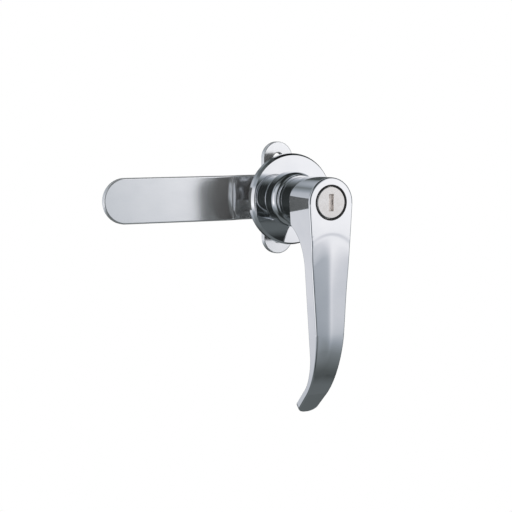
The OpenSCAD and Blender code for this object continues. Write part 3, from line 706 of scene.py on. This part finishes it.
def white_for_camera(tree, lit, white_kind, into):
    """White at full strength where the camera or a mirror looks, and the lit shader for all other rays."""
    path = tree.nodes.new("ShaderNodeLightPath")
    mirrored = compute(tree, "MAXIMUM", path.outputs["Is Glossy Ray"], path.outputs["Is Transmission Ray"])
    seen = compute(tree, "MAXIMUM", path.outputs["Is Camera Ray"], mirrored)
    white = tree.nodes.new(white_kind)
    white.inputs["Color"].default_value = (1, 1, 1, 1)
    white.inputs["Strength"].default_value = 1.0
    mix = tree.nodes.new("ShaderNodeMixShader")
    tree.links.new(seen, mix.inputs["Fac"])
    tree.links.new(lit.outputs[0], mix.inputs[1])
    tree.links.new(white.outputs[0], mix.inputs[2])
    tree.links.new(mix.outputs["Shader"], into)


floor_paint = bpy.data.materials.new("pale_floor")
floor_paint.use_nodes = True
tree = floor_paint.node_tree
floor_shader = tree.nodes["Principled BSDF"]
floor_shader.inputs["Base Color"].default_value = (0.86, 0.86, 0.86, 1)
floor_shader.inputs["Roughness"].default_value = 0.9
white_for_camera(tree, floor_shader, "ShaderNodeEmission", tree.nodes["Material Output"].inputs["Surface"])
paint(floor, floor_paint)
world = bpy.data.worlds.new("studio")
bpy.context.scene.world = world
world.use_nodes = True
tree = world.node_tree
soft_sky = tree.nodes["Background"]
soft_sky.inputs["Color"].default_value = (1, 1, 1, 1)
soft_sky.inputs["Strength"].default_value = 0.7
white_for_camera(tree, soft_sky, "ShaderNodeBackground", tree.nodes["World Output"].inputs["Surface"])

tent_r = 2.5
bpy.ops.object.select_all(action="DESELECT")
bpy.ops.mesh.primitive_uv_sphere_add(segments=96, ring_count=48, radius=tent_r)
tent = bpy.context.active_object
tent.name = "studio_tent"
tent.visible_camera = False
tent.visible_diffuse = False
tent.visible_shadow = False
tent.visible_transmission = False
tent_cloth = bpy.data.materials.new("tent_cloth")
tent_cloth.use_nodes = True
tree = tent_cloth.node_tree
tree.nodes.remove(tree.nodes["Principled BSDF"])
where = tree.nodes.new("ShaderNodeTexCoord")
axes = tree.nodes.new("ShaderNodeSeparateXYZ")
tree.links.new(where.outputs["Object"], axes.inputs["Vector"])


def brightness(tree, angle, steps):
    """How bright the cloth is along one angle, from pairs of degrees and brightness."""
    low = steps[0][0]
    high = steps[-1][0]
    share = tree.nodes.new("ShaderNodeMapRange")
    share.inputs["From Min"].default_value = math.radians(low)
    share.inputs["From Max"].default_value = math.radians(high)
    tree.links.new(angle, share.inputs["Value"])
    ramp = tree.nodes.new("ShaderNodeValToRGB")
    while len(ramp.color_ramp.elements) < len(steps):
        ramp.color_ramp.elements.new(0.5)
    for element, (degrees, value) in zip(ramp.color_ramp.elements, steps):
        element.position = (degrees - low) / (high - low)
        element.color = (value, value, value, 1)
    tree.links.new(share.outputs["Result"], ramp.inputs["Fac"])
    return ramp.outputs["Color"]


# each panel is bright where both its sides, in degrees round the part, and its heights are bright
rise = compute(tree, "ARCSINE", compute(tree, "DIVIDE", axes.outputs["Z"], tent_r))
turn_front = compute(tree, "ARCTAN2", axes.outputs["X"], compute(tree, "MULTIPLY", axes.outputs["Y"], -1))
turn_back = compute(tree, "ARCTAN2", axes.outputs["X"], axes.outputs["Y"])
dim_cloth = ((-90, 0.17), (-60, 0.145), (-48, 0.03), (90, 0.018))
front_right_sides = (
    (-180, 0.03), (-14, 0.03), (-6, 0.10), (3, 0.22), (10, 0.38), (16, 0.52), (20, 0.66), (23, 0.84),
    (27, 0.97), (30, 1.06), (34, 1.06), (42, 0.95), (54, 0.9), (62, 0.12), (84, 0.10), (92, 0.45), (106, 0.4),
    (118, 0.08), (180, 0.08))
front_right_heights = (
    (-90, 0.2), (-72, 0.12), (-60, 0.09), (-50, 0.11), (-34, 0.24), (-26, 0.38), (-18, 0.56), (-8.2, 0.73),
    (-5.6, 0.87), (-4, 0.98), (0, 1.0), (42, 1.0), (52, 0.3), (62, 0.08), (90, 0.06))
behind_left_sides = (
    (-180, 0.03), (-125, 0.05), (-112, 0.7), (-100, 0.97), (-78, 0.97), (-60, 0.5), (-40, 0.55), (-26, 0.7),
    (-15, 0.6), (-5, 0.3), (8, 0.10), (40, 0.08), (180, 0.05))
behind_left_heights = (
    (-90, 0.10), (-40, 0.2), (-25, 0.4), (-15, 1.05), (-11, 1.2), (-8, 1.12), (0, 0.97), (18, 0.8), (26, 0.4),
    (45, 0.15), (90, 0.08))
high_behind_sides = ((-180, 0.0), (-70, 0.0), (-45, 0.6), (25, 0.6), (40, 0.0), (180, 0.0))
high_behind_heights = ((-90, 0.0), (24, 0.0), (32, 1.0), (50, 1.0), (60, 0.0), (90, 0.0))
front_left_sides = ((-180, 0.0), (-105, 0.0), (-85, 0.6), (-50, 0.6), (-32, 0.0), (180, 0.0))
front_left_heights = ((-90, 0.0), (-45, 0.0), (-20, 1.0), (35, 1.0), (55, 0.0), (90, 0.0))
panels = (
    (turn_front, front_right_sides, front_right_heights),
    (turn_back, behind_left_sides, behind_left_heights),
    (turn_back, high_behind_sides, high_behind_heights),
    (turn_front, front_left_sides, front_left_heights))
level = brightness(tree, rise, dim_cloth)
for turn, sides, heights in panels:
    lit = compute(tree, "MULTIPLY", brightness(tree, turn, sides), brightness(tree, rise, heights))
    level = compute(tree, "MAXIMUM", level, lit)
cloth_tone = tree.nodes.new("ShaderNodeValToRGB")
cloth_tone.color_ramp.elements[0].color = (0.88, 1.0, 1.0, 1)
cloth_tone.color_ramp.elements[1].color = (0.975, 0.975, 1.0, 1)
for position, tone in ((0.4, (0.82, 0.90, 1.0, 1)), (0.8, (0.94, 0.95, 1.0, 1))):
    cloth_tone.color_ramp.elements.new(position).color = tone
tree.links.new(level, cloth_tone.inputs["Fac"])
glow = tree.nodes.new("ShaderNodeEmission")
tree.links.new(cloth_tone.outputs["Color"], glow.inputs["Color"])
tree.links.new(level, glow.inputs["Strength"])
tree.links.new(glow.outputs["Emission"], tree.nodes["Material Output"].inputs["Surface"])
paint(tent, tent_cloth)

lamps = (
    ("key_lamp", (0.7, -0.7, 0.9), 0.6, 9),
    ("fill_lamp", (-0.8, -0.2, 0.8), 0.7, 6))
for name, lamp_at, size, power in lamps:
    bpy.ops.object.light_add(type="AREA", location=lamp_at)
    lamp = bpy.context.active_object
    lamp.name = name
    lamp.data.size = size
    lamp.data.energy = power
    aim = lamp.location.normalized().to_track_quat("Z", "Y")
    lamp.rotation_euler = aim.to_euler()
    lamp.visible_glossy = False


# Camera
# It stands left of the part's front, a little above the axis, with a long lens.
# Its place, roll and lens are fitted to the photo's picture of 512 by 512 pixels.
azimuth = math.radians(-27.203)
height = math.radians(5.366)
roll = math.radians(-0.271)
distance = 0.674431
target = (-0.017636, 0, -0.027177)
picture_pixels = 512
focal_pixels = 1400
sensor_width = 36
bpy.ops.object.camera_add()
camera = bpy.context.active_object
camera.name = "photo_camera"
camera.data.sensor_width = sensor_width
camera.data.lens = focal_pixels / picture_pixels * sensor_width
away = (math.sin(azimuth) * math.cos(height), -math.cos(azimuth) * math.cos(height), math.sin(height))
camera.location = [middle + distance * part for middle, part in zip(target, away)]
aimed = Euler((math.pi / 2 - height, 0, azimuth)).to_matrix() @ Matrix.Rotation(roll, 3, "Z")
camera.rotation_euler = aimed.to_euler()
camera.data.clip_start = 0.01
camera.data.clip_end = 50
bpy.context.view_layer.update()
bpy.context.scene.camera = camera
bpy.context.scene.view_settings.view_transform = "Standard"
